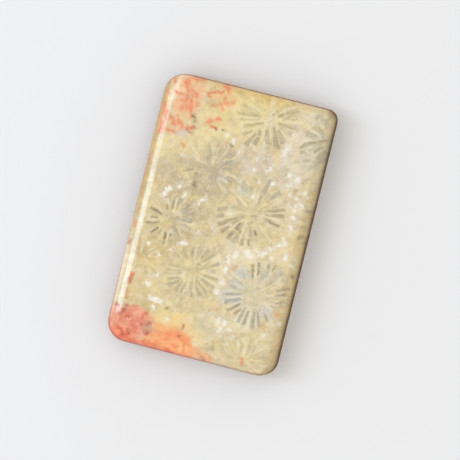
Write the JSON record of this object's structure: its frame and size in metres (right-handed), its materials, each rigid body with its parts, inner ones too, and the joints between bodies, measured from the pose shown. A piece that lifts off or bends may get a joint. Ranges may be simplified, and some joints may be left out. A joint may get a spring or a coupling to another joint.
{
  "type": "fossil coral cabochon slab",
  "caption": "Polished rectangular slice of fossil coral with a rolled front edge, a slightly domed face and a flat sawn back.",
  "frame": {"origin": "middle of the flat sawn back, which rests on the surface", "axes": "+Z out of the polished front face, +Y along the tablet's length, +X across its width"},
  "size_m": [0.0242, 0.038, 0.005],
  "materials": {
    "coral_slab": "polished face and edge, sawn matte back"
  },
  "bodies": {
    "root": {"coral_slab": "coral_slab"}
  },
  "joints": []
}
